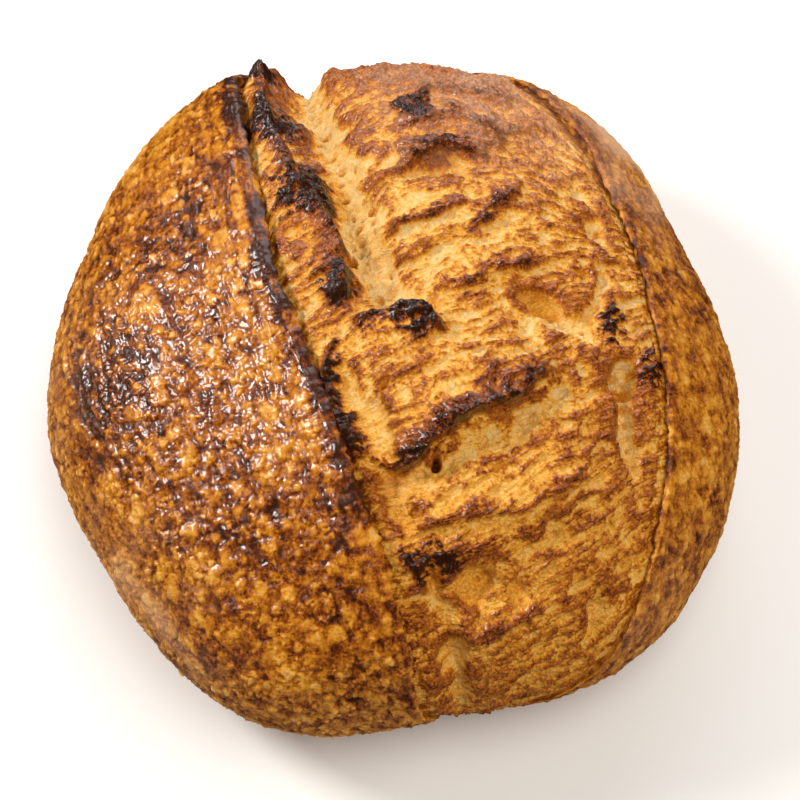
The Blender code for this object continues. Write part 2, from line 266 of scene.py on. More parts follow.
def along_line(line, share):
    """Places at shares of a line's length, as rows."""
    run = np.concatenate([[0], np.cumsum(np.hypot(*np.diff(line, axis=0).T))])
    at = np.clip(share, 0, 1) * run[-1]
    return in_rows(np.interp(at, run, line[:, 0]), np.interp(at, run, line[:, 1]))


def beside_line(skin, line):
    """Each place's distance from a line, positive on its left, share of the way along, and the left there."""
    nearest = np.full(len(skin), np.inf)
    side, share, left = np.zeros(len(skin)), np.zeros(len(skin)), np.zeros((len(skin), 2))
    count = len(line) - 1
    for index in range(count):
        step = line[index + 1] - line[index]
        offset = skin - line[index]
        part = np.clip(offset @ step / (step @ step), 0, 1)
        away = offset - part[:, None] * step
        distance = np.hypot(away[:, 0], away[:, 1])
        closer = distance < nearest
        leftward = np.array([-step[1], step[0]]) / np.hypot(*step)
        nearest[closer] = distance[closer]
        side[closer] = np.where(away[closer] @ leftward < 0, -1, 1)
        share[closer] = (index + part[closer]) / count
        left[closer] = leftward
    return nearest * side, share, left


def near_line(skin, knots, reach):
    """Which places lie within reach of a line, and where beside it they are."""
    line = smooth_line(knots, 5)
    low, high = line.min(axis=0) - reach, line.max(axis=0) + reach
    near = np.flatnonzero(np.all((skin > low) & (skin < high), axis=1))
    return (near, *beside_line(skin[near], line))


def tapered(share):
    """Full height along the middle of a line, running out at both ends."""
    return np.clip(np.sin(np.pi * np.clip(share, 0, 1)) * 1.6, 0, 1)


def rounded_fall(distance, crest, spread):
    """1 on a line and less away from it, with a rounded crest."""
    return np.exp(-(np.sqrt(distance**2 + crest**2) - crest) / spread)


def bump(skin, centre, radius):
    """A round swell of height 1 over a place given in millimetres."""
    return np.exp(-np.sum((skin - np.array(centre) * MM) ** 2, axis=1) / (radius * MM) ** 2)


def with_spots(field, skin, spots, scale=1):
    """A field over the skin with round swells added, each given by its centre, radius and amount."""
    for centre, radius, amount in spots:
        field = field + amount * scale * bump(skin, centre, radius)
    return field


def oval(skin, middle, half_length, half_width, direction):
    """Distance from the middle of an oval given in millimetres and degrees, 1 on its outline."""
    offset = skin / MM - np.array(middle)
    turn = np.radians(direction)
    along = offset @ np.array([np.cos(turn), np.sin(turn)]) / half_length
    across = offset @ np.array([-np.sin(turn), np.cos(turn)]) / half_width
    return np.hypot(along, across)


def scatter(cell_x, cell_y, seed):
    """Even random shares from 0 to 1, the same for the same whole numbers."""
    right, back, start, *rounds = SHUFFLE
    mixed = (cell_x.astype(np.int64) * right + cell_y.astype(np.int64) * back + seed * start) & LOW_BITS
    for shift, factor in zip((13, 16), rounds):
        mixed = ((mixed ^ (mixed >> shift)) * factor) & LOW_BITS
    return ((mixed ^ (mixed >> 15)) & 0xFFFFFF) / 0xFFFFFF


def wave(skin, length, seed, width=None):
    """Smooth uneven rise and fall from about -1 to 1 over the skin, with lengths in millimetres."""
    place = skin / (np.array([length, width or length]) * MM)
    cell = np.floor(place).astype(np.int64)
    part = place - cell
    ease = part**3 * (part * (part * 6 - 15) + 10)
    total = np.zeros(len(skin))
    for right in (0, 1):
        for back in (0, 1):
            turn = 2 * np.pi * scatter(cell[:, 0] + right, cell[:, 1] + back, seed)
            slope = np.cos(turn) * (part[:, 0] - right) + np.sin(turn) * (part[:, 1] - back)
            weight = (ease[:, 0] if right else 1 - ease[:, 0]) * (ease[:, 1] if back else 1 - ease[:, 1])
            total += weight * slope
    return 1.5 * total


def ridges(skin, length, seed, width=None):
    """Sharp-crested uneven ridges, up to 1 on their crests."""
    return 1 - 2.6 * np.abs(wave(skin, length, seed, width))


def shaken(skin, length, reach, seed):
    """Places moved sideways by smooth uneven amounts."""
    return skin + reach * MM * in_rows(wave(skin, length, seed), wave(skin, length, seed + 1))


def web(skin, spacing, seed):
    """Walls between cells of an uneven foam: 1 on the walls, 0 inside the cells."""
    place = skin / (spacing * MM)
    cell = np.floor(place).astype(np.int64)
    first, second = np.full(len(skin), 9.0), np.full(len(skin), 9.0)
    for right in (-1, 0, 1):
        for back in (-1, 0, 1):
            x, y = cell[:, 0] + right, cell[:, 1] + back
            away = np.hypot(place[:, 0] - x - scatter(x, y, seed), place[:, 1] - y - scatter(x, y, seed + 1))
            second = np.minimum(second, np.maximum(first, away))
            first = np.minimum(first, away)
    return np.clip(1 - 2.2 * (second - first), 0, 1)


def bubbles(skin, spacing, smallest, largest, seed, share):
    """Round bubbles scattered over the skin: height share from 0 to 1, and a random tone for each bubble."""
    spacing, smallest, largest = spacing * MM, smallest * MM, largest * MM
    place = skin / spacing
    cell = np.floor(place).astype(np.int64)
    height, tone = np.zeros(len(skin)), np.zeros(len(skin))
    for right in (-1, 0, 1):
        for back in (-1, 0, 1):
            x, y = cell[:, 0] + right, cell[:, 1] + back
            centre = in_rows(x + scatter(x, y, seed), y + scatter(x, y, seed + 1))
            radius = (smallest + (largest - smallest) * scatter(x, y, seed + 2) ** 2) / spacing
            away = np.sum((place - centre) ** 2, axis=1) / radius**2
            dome = smooth_step(0, 0.75, 1 - away) * (scatter(x, y, seed + 3) < share)
            dome *= 0.4 + 0.6 * scatter(x, y, seed + 4)
            higher = dome > height
            height = np.where(higher, dome, height)
            tone = np.where(higher, scatter(x, y, seed + 5), tone)
    return height, tone


def crust_relief(skin, shape):
    """Height of the crust over the plain body with its two lips, how far the ear leans, and its tones."""
    ear_distance, ear_share, ear_left = beside_line(skin, smooth_line(EAR_LINE))
    lip_distance, lip_share, _ = beside_line(skin, smooth_line(RIGHT_LIP_LINE))
    from_ear, from_lip = np.abs(ear_distance), np.abs(lip_distance)
    ear_size, lip_size = tapered(ear_share), tapered(lip_share)
    ear = shape.ear_rise * ear_size * rounded_fall(from_ear, shape.ear_thickness / 2, shape.ear_spread)
    lip = shape.lip_rise * lip_size * rounded_fall(from_lip, shape.lip_thickness / 2, shape.lip_spread)
    height = np.maximum(ear, lip) + MM * wave(skin, 34, 9)
    height = with_spots(height, skin, SWELLS, MM)

    left_side = smooth_step(20 * MM, -20 * MM, skin[:, 0])
    wavy = shaken(shaken(skin, 3.4, 1.1, 12), 1.6, 0.5, 14)
    small, small_tone = bubbles(wavy, 2.7, 0.7, 1.9, 11, 0.8)
    large, large_tone = bubbles(wavy + 1.3 * MM, 6.5, 1.6, 4.2, 31, 0.5)
    tiny, _ = bubbles(wavy, 1.4, 0.4, 0.8, 51, 0.6)
    patchy = smooth_step(-0.5, 0.5, wave(skin, 15, 77) + 0.5 * wave(skin, 6, 78))
    away_from_lip = 0.45 + 0.55 * smooth_step(0.2 * MM, 2.8 * MM, np.minimum(from_ear, from_lip))
    bubble = np.maximum(small * (0.35 + 0.65 * patchy), large) * away_from_lip * (0.55 + 0.45 * left_side)
    along_ear = shaken(in_rows(ear_share * LIP_LENGTH * MM, ear_distance), 5, 1.2, 35)
    wrinkles = ridges(along_ear, 9, 25, 4.5) + 0.7 * ridges(along_ear, 4, 26, 2)
    wrinkles += 0.5 * ridges(along_ear, 2, 27, 1.1)
    wrinkles *= away_from_lip
    height += shape.blister_rise * (bubble + 0.3 * tiny * away_from_lip + 0.55 * wrinkles)

    streak = wave(along_ear, 22, 5, 2.6) + 0.7 * wave(along_ear, 13, 6, 1.4)
    streak += 0.5 * wave(along_ear, 7, 7, 0.9)
    near_ear = np.exp(-from_ear / (14 * MM)) * (ear_distance < 1 * MM)
    fine = 0.15 * wave(skin, 1.3, 14) + 0.4 * wave(skin, 5, 15)
    height += MM * (0.6 * streak * near_ear + fine * away_from_lip)

    bake = 0.63 + 0.12 * wave(skin, 26, 40) + 0.18 * wave(skin, 9, 41) + 0.16 * wave(skin, 4, 42)
    bake = with_spots(bake, skin, CRUST_TONES)
    tone = np.where(large > small, large_tone, small_tone)
    tinted = (tone - 0.5) * (0.18 + 0.12 * left_side) * (bubble > 0.05)
    bake += (0.3 - bubble) * 0.42 + tinted - 0.10 * wrinkles
    scorched = ear_size * (1 - 0.92 * smooth_step(0.42, 0.75, ear_share))
    band = scorched * bell(from_ear / (2.0 * MM * (1 + 0.5 * wave(along_ear, 9, 43))))
    bake = bake * (1 - band) + (0.90 + 0.32 * streak) * band + 0.12 * near_ear * (0.4 + 1.8 * streak)
    out = np.hypot(*skin.T)
    bake -= 0.10 * smooth_step(95 * MM, 150 * MM, out)
    # Flour, with painted sheen towards the grazing edges, both drawn in the flour colour.
    flour = with_spots(np.zeros(len(skin)), skin, FLOUR_AND_SHEEN_SPOTS) * (1 + 0.8 * wave(skin, 18, 60))
    flour = np.clip(flour + 0.4 * smooth_step(150 * MM, 195 * MM, out), 0, 1)
    lean = shape.ear_lean * ear_size * bell(from_ear / (3 * MM))
    fade = 1 - smooth_step(SKIN_RADIUS - 16 * MM, SKIN_RADIUS - 2 * MM, out)
    gloss = (0.3 + 0.7 * left_side) * (1 - smooth_step(110 * MM, 150 * MM, out))
    tones = {"bake": bake, "bubble": bubble, "flour": flour, "gloss": gloss}
    return height * fade, ear_left * (lean * fade)[:, None], tones


def strand_place(skin):
    """Places along and across the crumb's threads, which arch over at the back and sag at the front."""
    right, back = skin[:, 0] - 22 * MM, skin[:, 1]
    arch = 9.0 * smooth_step(10 * MM, 80 * MM, back) - 4.5 * smooth_step(-20 * MM, -75 * MM, back)
    rising = 0.50 * (1 - smooth_step(20 * MM, 80 * MM, back))
    across = back - rising * right + arch * right**2
    return shaken(in_rows(right, across), 17, 3.5, 70)


def blurred(field, reach):
    """A field on the patch's rows and columns, smoothed over a number of cells each way."""
    for axis in (0, 1, 0, 1):
        size = field.shape[axis]
        padded = np.take(field, np.clip(np.arange(-reach, size + reach + 1), 0, size - 1), axis)
        total = np.cumsum(padded, axis)
        width = 2 * reach + 1
        ahead = np.take(total, np.arange(width, total.shape[axis]), axis)
        behind = np.take(total, np.arange(0, total.shape[axis] - width), axis)
        field = (ahead - behind) / width
    return field


def ragged(skin):
    """Places on the skin, moved a little so that what is drawn on them has torn edges."""
    moved = skin.copy()
    for index, (length, reach) in enumerate(RAGGED):
        for axis in (0, 1):
            moved[:, axis] += reach * MM * wave(skin, length, 200 + 10 * index + axis)
    return moved


def torn_layers(strands, spacing, seed):
    """Torn layers from 0 to 1, each rising gently to a ragged edge that drops towards the front."""
    phase = strands[:, 1] / (spacing * MM) + 0.6 * wave(strands, 34, seed, 15)
    phase += 0.2 * wave(strands, 9, seed + 1)
    phase -= np.floor(phase)
    return (1 - phase) ** 1.4 * smooth_step(0, 0.14, phase)


def bloom_form(skin, strands, shape):
    """Broad height of the torn crumb over the plain body, its lean, how pale and how charred it is."""
    height = shape.bloom_swell * bump(skin, (32, -6), 62) - MM
    count = len(skin)
    char, pale, lean = np.zeros(count), np.zeros(count), np.zeros((count, 2))
    skin = ragged(skin)
    for knots, depth, half_width, paleness in VALLEYS:
        near, distance, share, _ = near_line(skin, knots, 3 * half_width * MM)
        width = half_width * MM * (1 + 0.35 * wave(skin[near], 12, 16))
        gaps = smooth_step(-0.4, 0.3, wave(skin[near], 14, 24)) if half_width < 4 else 1
        height[near] -= depth * MM * gaps * tapered(0.15 + 0.7 * share) * bell(distance / width)
        torn_last = paleness * gaps * tapered(0.1 + 0.8 * share) * bell(distance / width, 4)
        pale[near] = np.maximum(pale[near], torn_last)
    for knots, rise, gentle, steep, charred in FOLDS:
        near, distance, share, left = near_line(skin, knots, 3 * gentle * MM)
        behind = np.maximum(distance, 0) / (gentle * MM)
        ahead = np.minimum(distance, 0) / (steep * MM)
        size = tapered(share) * (1 + 0.3 * wave(skin[near], 9, 17))
        slope = np.exp(-np.sqrt(behind**2 + 0.01) * 1.3 + 0.13)
        height[near] += rise * MM * size * bell(ahead) * slope
        crest = bell(distance / np.where(distance > 0, 4.5 * MM, 2.2 * MM))
        lean[near] -= left * (shape.fold_lean * rise * MM * size * crest)[:, None]
        worn = charred * size * crest * (1 + 0.8 * wave(skin[near], 4, 23))
        char[near] = np.maximum(char[near], worn)
    grain = 1 + 0.7 * wave(skin, 5, 21) + 0.4 * wave(skin, 2.5, 22)
    for centre, radius, rise in CRAGS:
        spot = bump(skin, centre, radius)
        height += rise * MM * grain * spot
        char = np.maximum(char, 0.48 * smooth_step(0.0, 0.65, spot * (0.6 + 0.5 * grain)))
    for middle, half_length, half_width, direction, depth in HOLLOWS:
        dip = bell(oval(skin, middle, half_length, half_width, direction), 2.8)
        height -= depth * MM * dip
        pale = np.maximum(pale, 0.5 * smooth_step(0.35, 0.9, dip))
    toasted = (1 - 0.8 * pale) * smooth_step(-0.5, 0.5, wave(skin, 24, 18))
    height += shape.layer_rise * toasted * (torn_layers(strands, 11, 60) - 0.4)
    return height + 1.2 * MM * wave(skin, 17, 3) + 0.8 * MM * wave(skin, 7, 4), lean, pale, char


def bloom_relief(skin, shape, rows, columns):
    """Height of the torn crumb with its threads and pores, and its tones, on the patch's rows and columns.
    The tones hold painted shade in pores and holes and a painted sheen over the back.
    """
    strands = strand_place(skin)
    height, lean, pale, char = bloom_form(skin, strands, shape)
    height = blurred(height.reshape(rows, columns), 1).ravel()
    lean = blurred(lean.reshape(rows, columns, 2), 3).reshape(-1, 2)
    patchy = smooth_step(-0.3, 0.5, wave(skin, 17, 19) + 0.6 * wave(skin, 7, 20))
    height += 0.5 * shape.layer_rise * (1 - pale) * patchy * (torn_layers(strands, 4.2, 63) - 0.4)
    folds = ridges(strands, 13, 80, 7) + 0.6 * ridges(strands, 6.5, 81, 3.4)
    fibres = ridges(strands, 4.2, 82, 1.7) + 0.5 * ridges(strands, 2.2, 83, 1.0)
    height += shape.thread_rise * (0.9 * folds * (1 - 0.6 * pale) + 0.62 * fibres)
    foam = 0.6 * web(shaken(skin, 4, 1.0, 84), 2.9, 86) + 0.4 * web(shaken(skin, 2, 0.5, 88), 1.5, 90)
    pores, _ = bubbles(shaken(skin, 5, 1.0, 93), 3.9, 0.8, 2.7, 91, 0.85)
    open_share = smooth_step(0.25, 0.7, pale + 0.35 * wave(skin, 11, 96) - 0.05)
    drawn_out = shaken(strands, 5, 1.4, 114) / np.array([1.7, 1.0])
    tears, _ = bubbles(drawn_out, 8.0, 0.9, 3.2, 110, 0.45)
    rims = smooth_step(0, 0.2, tears) * (1 - smooth_step(0.2, 0.6, tears))
    pit = np.maximum(pores * open_share, 0.6 * tears)
    height += 0.75 * MM * foam - shape.pore_depth * pit
    torn, shade = ragged(skin), np.zeros(len(skin))
    for middle, half_length, half_width, direction, depth in HOLES:
        dip = 1 - smooth_step(0.65, 1.15, oval(torn, middle, half_length, half_width, direction))
        height -= depth * MM * dip
        # Painted shade: the deeper and narrower a hole, the darker it is drawn inside.
        shade = np.maximum(shade, dip * min(depth / half_width / 4, 1))
    rough = wave(skin, 2.4, 98) + 0.8 * wave(skin, 1.3, 99) + 0.7 * wave(skin, 0.8, 97)
    height += MM * rough * (0.3 + 0.5 * smooth_step(0.1, 0.4, char))

    sheet = height.reshape(rows, columns)
    reach = max(2, round(rows / 130))
    broad = (sheet - blurred(sheet, 3 * reach)).ravel() / MM
    near = (sheet - blurred(sheet, reach)).ravel() / MM
    bake = 0.40 + 0.05 * np.clip(broad, -3, 3) + 0.40 * np.clip(near, -0.9, 0.9) + 0.05 * (foam - 0.3)
    bake = with_spots(bake, skin, BLOOM_TONES)
    bake += 0.14 * wave(skin, 15, 44) + 0.14 * wave(strands, 9, 45, 5) + 0.12 * wave(skin, 3, 46)
    # Painted shade: open pores are drawn darker inside.
    bake += 0.14 * rims - 0.32 * smooth_step(0.2, 0.9, pale) - 0.16 * tears + 0.75 * pores * open_share
    right, back = skin.T
    palest = 0.06 + 0.16 * smooth_step(-10 * MM, -60 * MM, back)
    # Painted shade: holes are drawn towards a dark tone by their shade share.
    bake = np.clip(bake, palest, 0.72) * (1 - shade) + 0.85 * shade + char * (0.8 + 0.6 * rough)
    # Painted sheen: a pale haze over the back and right of the bloom, kept off pale and charred places and
    # before the seam, drawn in the flour colour and stored with the flour tone.
    painted_sheen = smooth_step(40 * MM, 110 * MM, back) * smooth_step(-30 * MM, 20 * MM, right) * (1 - pale)
    before_seam = 1 - smooth_step(130 * MM, 165 * MM, back)
    painted_sheen *= (1 - smooth_step(0.03, 0.2, char)) * (0.36 + 0.3 * wave(skin, 12, 47)) * before_seam
    return height, lean, {"bake": bake, "bubble": near, "flour": painted_sheen}, strands


def section_of(curl):
    """Places on a lip's cross-section, from its crest (0) to its hidden end (1), as rows."""
    knots = np.array(LIP_SECTION)
    run = np.concatenate([[0], np.cumsum(np.hypot(*np.diff(knots, axis=0).T))])
    at = curl * run[-1]
    return in_rows(np.interp(at, run, knots[:, 0]), np.interp(at, run, knots[:, 1]))


def arc(start, end):
    """A line on the skin along the seam with the underside, between two directions in degrees."""
    turn = np.radians(np.linspace(start, end, 60))
    return SEAM_RADIUS * in_rows(np.cos(turn), np.sin(turn))


def fill_between(down, out, edge, far, back, front):
    """Places on the skin between four lines, by shares down from the back and out from the edge."""
    down_share, out_share = down[:, None], out[:, None]
    mixed = (1 - out_share) * along_line(edge, down) + out_share * along_line(far, down)
    mixed += (1 - down_share) * along_line(back, out) + down_share * along_line(front, out)
    corners = (1 - down_share) * ((1 - out_share) * edge[0] + out_share * far[0])
    corners = corners + down_share * ((1 - out_share) * edge[-1] + out_share * far[-1])
    return mixed - corners


def clear_selection():
    if bpy.context.object and bpy.context.object.mode != "OBJECT":
        bpy.ops.object.mode_set(mode="OBJECT")
    bpy.ops.object.select_all(action="DESELECT")


def corner_places(piece):
    flat = np.empty(len(piece.data.vertices) * 3)
    piece.data.vertices.foreach_get("co", flat)
    return flat.reshape(-1, 3)


def edit_rim(name):
    """Names the new piece and selects its rim in edit mode."""
    piece = bpy.context.object
    piece.name = piece.data.name = name
    bpy.ops.object.mode_set(mode="EDIT")
    bpy.ops.mesh.select_all(action="SELECT")
    bpy.ops.mesh.region_to_loop()
    return piece


def close_below(steps):
    """Extrudes the selected rim down by steps and draws the last ring together to one point."""
    for step in steps:
        bpy.ops.mesh.extrude_region_move(TRANSFORM_OT_translate={"value": (0, 0, -step)})
    bpy.ops.mesh.merge(type="CENTER")
    bpy.ops.object.mode_set(mode="OBJECT")


def start_patch(name, columns, rows):
    """A flat grid with a skirt drawn together to one point, and the number of each corner's place."""
    clear_selection()
    bpy.ops.mesh.primitive_grid_add(
        x_subdivisions=columns - 1, y_subdivisions=rows - 1, size=1, location=(0, 0, 0)
    )
    piece = edit_rim(name)
    bpy.ops.mesh.mark_sharp()
    close_below((1, 1))
    flat = corner_places(piece)
    order = np.rint((flat[:, 1] + 0.5) * (rows - 1)) * columns + np.rint((flat[:, 0] + 0.5) * (columns - 1))
    order += (flat[:, 2] < -0.5) * rows * columns
    order = np.where(flat[:, 2] < -1.5, 2 * rows * columns, order).astype(int)
    return piece, order


def finish_piece(piece, places, tones, uv, material):
    """Lays the piece's corners in place, stores its tones and makes it part of the loaf."""
    mesh = piece.data
    mesh.vertices.foreach_set("co", places.ravel())
    for name, values in tones.items():
        layer = mesh.attributes.new(name, "FLOAT", "POINT")
        layer.data.foreach_set("value", values.astype(np.float32))
    corners = np.empty(len(mesh.loops), int)
    mesh.loops.foreach_get("vertex_index", corners)
    while mesh.uv_layers:
        mesh.uv_layers.remove(mesh.uv_layers[0])
    mesh.uv_layers.new(name="skin").data.foreach_set("uv", uv[corners].ravel())
    mesh.update()
    bpy.ops.object.mode_set(mode="EDIT")
    bpy.ops.mesh.select_all(action="SELECT")
    bpy.ops.mesh.normals_make_consistent(inside=False)
    bpy.ops.object.mode_set(mode="OBJECT")
    bpy.ops.object.shade_smooth()
    mesh.materials.clear()
    mesh.materials.append(material)
    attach(piece, BODY)
    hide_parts(NODE)


def with_inside(rows, under, inside):
    """Adds the values of the skirt and of the inner point after those of the grid."""
    return np.concatenate([rows, under, np.broadcast_to(inside, (1, *rows.shape[1:]))])


def add_sheet(name, rows, columns, skin, places, tones, uv, inside, material):
    """Adds a patch in slices that meet row by row, each one a piece closed at its own inner point."""
    cuts = np.linspace(0, rows - 1, len(inside) + 1).astype(int)
    for index, (first, last) in enumerate(zip(cuts, cuts[1:])):
        taken = slice(first * columns, (last + 1) * columns)
        slice_name = f"{name}_{index + 1}" if len(inside) > 1 else name
        piece, order = start_patch(slice_name, columns, last + 1 - first)
        skirt = body_point(skin[taken]) - SKIRT_DEPTH * body_normal(skin[taken])
        shaped = with_inside(places[taken], skirt, np.array(inside[index]) * MM)[order]
        part = {key: with_inside(values[taken], values[taken], 0.5)[order] for key, values in tones.items()}
        finish_piece(piece, shaped, part, with_inside(uv[taken], uv[taken], 0.5)[order], material)


def grid_shares(rows, columns):
    down, out = np.meshgrid(np.linspace(0, 1, rows), np.linspace(0, 1, columns), indexing="ij")
    return down.ravel(), out.ravel()


def crust_sheet(shape, rows, columns, edge, side, directions, lip_thickness, lip_columns):
    """One half of the crust: from a lip's rolled edge out to the seam with the underside."""
    down, out = grid_shares(rows, columns)
    lip_share = lip_columns / (columns - 1)
    curl = np.clip(1 - out / lip_share, 0, 1)
    spread = np.clip((out - lip_share) / (1 - lip_share), 0, 1) ** 1.15
    start, upper, lower, end = directions
    skin = fill_between(down, spread, edge, arc(upper, lower), arc(start, upper), arc(end, lower))
    height, lean, tones = crust_relief(skin, shape)
    up = body_normal(skin)
    _, share, left = beside_line(along_line(edge, down), edge)
    outward = unit(body_point(skin + side * left * 0.5 * MM) - body_point(skin - side * left * 0.5 * MM))
    run = in_rows(share * LIP_LENGTH * MM, curl * 6 * MM)
    uneven = 1 + 0.25 * wave(run * (1, 0), 28, 8) + 0.3 * wave(run, 14, 9, 1.7)
    uneven += 0.42 * wave(run, 3.6, 11, 1.7) + 0.30 * wave(run, 1.7, 13, 1.1)
    size = lip_thickness * (0.25 + 0.75 * tapered(share) * (1 - 0.7 * smooth_step(0.6, 0.9, share))) * uneven
    section = section_of(curl)
    places = body_point(skin + lean) + up * height[:, None]
    places += (outward * section[:, :1] + up * section[:, 1:]) * size[:, None] * (curl > 0)[:, None]
    streak = wave(run, 14, 10, 1.7) + 1.3 * wave(run, 4, 12, 1.2)
    tones["bake"] += 0.34 * streak * smooth_step(0, 0.3, curl) * tapered(share)
    tones["bake"] -= 0.18 * smooth_step(0, 0.2, curl) * smooth_step(0.55, 0.8, share)
    tones["gloss"] *= 1 - 0.5 * smooth_step(0, 0.2, curl)
    return skin, places, tones, skin / UV_SPAN + 0.5


def srgb(red, green, blue):
    """A colour given from 0 to 255 as a screen shows it, as light amounts."""
    shares = (red / 255, green / 255, blue / 255)
    return tuple(c / 12.92 if c <= 0.04045 else ((c + 0.055) / 1.055) ** 2.4 for c in shares)


class Wire:
    """One output of a material's node. Sums written with it add the Math nodes that work them out."""

    def __init__(self, tree, socket=None):
        self.tree, self.socket = tree, socket

    def make(self, kind, settings=None, sockets=None, output=0):
        """Adds a node with its settings first, then the values or links of its sockets."""
        node = self.tree.nodes.new(kind)
        for name, value in (settings or {}).items():
            if name == "stops":
                set_stops(node.color_ramp, value)
            else:
                setattr(node, name, value)
        for name, value in (sockets or {}).items():
            if isinstance(value, Wire):
                self.tree.links.new(value.socket, node.inputs[name])
            else:
                node.inputs[name].default_value = value
        return Wire(self.tree, node.outputs[output])

    def worked_out(self, operation, first, second):
        return self.make("ShaderNodeMath", {"operation": operation}, {0: first, 1: second})

    def __add__(self, other):
        return self.worked_out("ADD", self, other)

    def __sub__(self, other):
        return self.worked_out("SUBTRACT", self, other)

    def __rsub__(self, other):
        return self.worked_out("SUBTRACT", other, self)

    def __mul__(self, other):
        return self.worked_out("MULTIPLY", self, other)

    __radd__ = __add__
    __rmul__ = __mul__

    def held(self, low=0.0, high=1.0):
        return self.make("ShaderNodeClamp", None, {"Value": self, "Min": low, "Max": high})


def set_stops(ramp, stops):
    while len(ramp.elements) > 1:
        ramp.elements.remove(ramp.elements[-1])
    for index, (place, colour) in enumerate(stops):
        stop = ramp.elements[0] if index == 0 else ramp.elements.new(place)
        stop.position = place
        stop.color = (*colour, 1)


def new_material(name):
    material = bpy.data.materials.new(name)
    material.use_nodes = True
    tree = material.node_tree
    shader = tree.nodes["Principled BSDF"]
    return material, Wire(tree), shader


def attribute(start, name):
    return start.make("ShaderNodeAttribute", {"attribute_name": name}, None, "Fac")


def speckle(start, vector, size, detail=3.0, roughness=0.6):
    """Noise from about -0.5 to 0.5 with grains of a size in metres."""
    sockets = {"Vector": vector, "Scale": 1 / size, "Detail": detail, "Roughness": roughness}
    return start.make("ShaderNodeTexNoise", None, sockets, "Fac") - 0.5


def mixed(start, share, first, second):
    sockets = {0: share, 6: first, 7: second}
    return start.make("ShaderNodeMix", {"data_type": "RGBA"}, sockets, 2)


def baked_colour(tone, stops, colours):
    """The colour of crust or crumb from how brown it is; for the crumb this tone also holds painted shade."""
    stops = [(place, getattr(colours, name)) for place, name in stops]
    return tone.make("ShaderNodeValToRGB", {"stops": stops}, {"Fac": tone})


def finish_shader(shader, colour, roughness, coat, coat_roughness, relief, depth):
    """Links what varies over the surface, and sets the gloss that doesn't."""
    normal = relief.make("ShaderNodeBump", None, {"Strength": 1.0, "Distance": depth, "Height": relief})
    wires = {"Base Color": colour, "Roughness": roughness, "Coat Weight": coat, "Normal": normal}
    for name, wire in wires.items():
        relief.tree.links.new(wire.socket, shader.inputs[name])
    shader.inputs["Coat Roughness"].default_value = coat_roughness
    shader.inputs["Specular IOR Level"].default_value = 0.35


def crust_material(colours):
    """Glossy blistered crust: golden bubble tops on a dark red-brown ground, floury towards the underside,
    with painted sheen in the flour colour at its grazing edges.
    """
    material, start, shader = new_material("blistered_crust")
    place = start.make("ShaderNodeTexCoord", None, None, "Object")
    bake, bubble, flour, gloss = (attribute(start, name) for name in ("bake", "bubble", "flour", "gloss"))
    grain = speckle(start, place, 0.8 * MM, 5.0, 0.7)
    patch = speckle(start, place, 2.4 * MM, 4.0, 0.65)
    cloud = speckle(start, place, 8 * MM)
    tone = (bake + 0.95 * grain + 1.1 * patch + 0.5 * cloud).held(0, 0.97)
    colour = baked_colour(tone, CRUST_STOPS, colours)
    # Flour dust, which also paints sheen at the grazing edges.
    dust_and_sheen = (flour + 0.8 * speckle(start, place, 2.2 * MM)).held() * flour
    colour = mixed(start, (dust_and_sheen * 0.9).held(), colour, (*colours.flour, 1))
    roughness = (0.27 + 0.22 * (1 - gloss) + 0.4 * cloud + 0.2 * grain + 0.6 * dust_and_sheen).held(0.14, 0.9)
    coat = (gloss * (0.62 + 1.8 * cloud) - dust_and_sheen).held()
    relief = 0.25 * grain + 1.1 * patch + 0.2 * bubble
    finish_shader(shader, colour, roughness, coat, 0.13, relief, 0.55 * MM)
    return material


def bloom_material(colours):
    """Torn crumb: cream where it tore last, toasted gold on its threads, dark brown to black on its crags,
    with painted shade in its pores, its holes and under the ear, and a painted sheen over its back.
    """
    material, start, shader = new_material("torn_crumb")
    place = start.make("ShaderNodeTexCoord", None, None, "Object")
    bake, near, painted_sheen = (attribute(start, name) for name in ("bake", "bubble", "flour"))
    grain = speckle(start, place, 0.7 * MM, 6.0, 0.75)
    patch = speckle(start, place, 2.2 * MM, 4.0, 0.65)
    cloud = speckle(start, place, 9 * MM)
    threads = start.make("ShaderNodeUVMap", {"uv_map": "skin"}, None)
    stretch = (1 / (5.5 * MM), 1 / (0.8 * MM), 1)
    drawn = start.make("ShaderNodeMapping", None, {"Vector": threads, "Scale": stretch})
    thread = speckle(start, drawn, 1.0) * (0.5 + 2.5 * cloud).held()
    cells = 1 / (1.5 * MM)
    bent = start.make("ShaderNodeTexNoise", None, {"Vector": place, "Scale": cells}, "Color")
    sockets = {0: bent, 1: (MM, MM, MM), 2: place}
    bent = start.make("ShaderNodeVectorMath", {"operation": "MULTIPLY_ADD"}, sockets)
    foam = {"feature": "DISTANCE_TO_EDGE"}, {"Vector": bent, "Scale": cells}, "Distance"
    walls = start.make("ShaderNodeTexVoronoi", *foam).held(0, 0.25)
    tone = bake + (0.4 + 0.8 * bake) * grain + 0.55 * patch + 0.40 * cloud + 0.85 * thread
    tone = (tone - 0.5 * (walls - 0.12)).held()
    colour = baked_colour(tone, BLOOM_STOPS, colours)
    # Painted sheen over the back of the bloom, in the flour colour.
    colour = mixed(start, (painted_sheen + 2.0 * painted_sheen * cloud).held(0, 0.5), colour, (*colours.flour, 1))
    roughness = (0.64 - 0.45 * bake + 0.3 * grain).held(0.26, 0.9)
    coat = (1.5 * bake - 0.5 + 1.5 * cloud).held(0, 0.45)
    relief = 0.35 * grain + 0.7 * patch - 1.1 * walls + 0.7 * thread + 0.1 * near
    finish_shader(shader, colour, roughness, coat, 0.16, relief, 0.6 * MM)
    return material


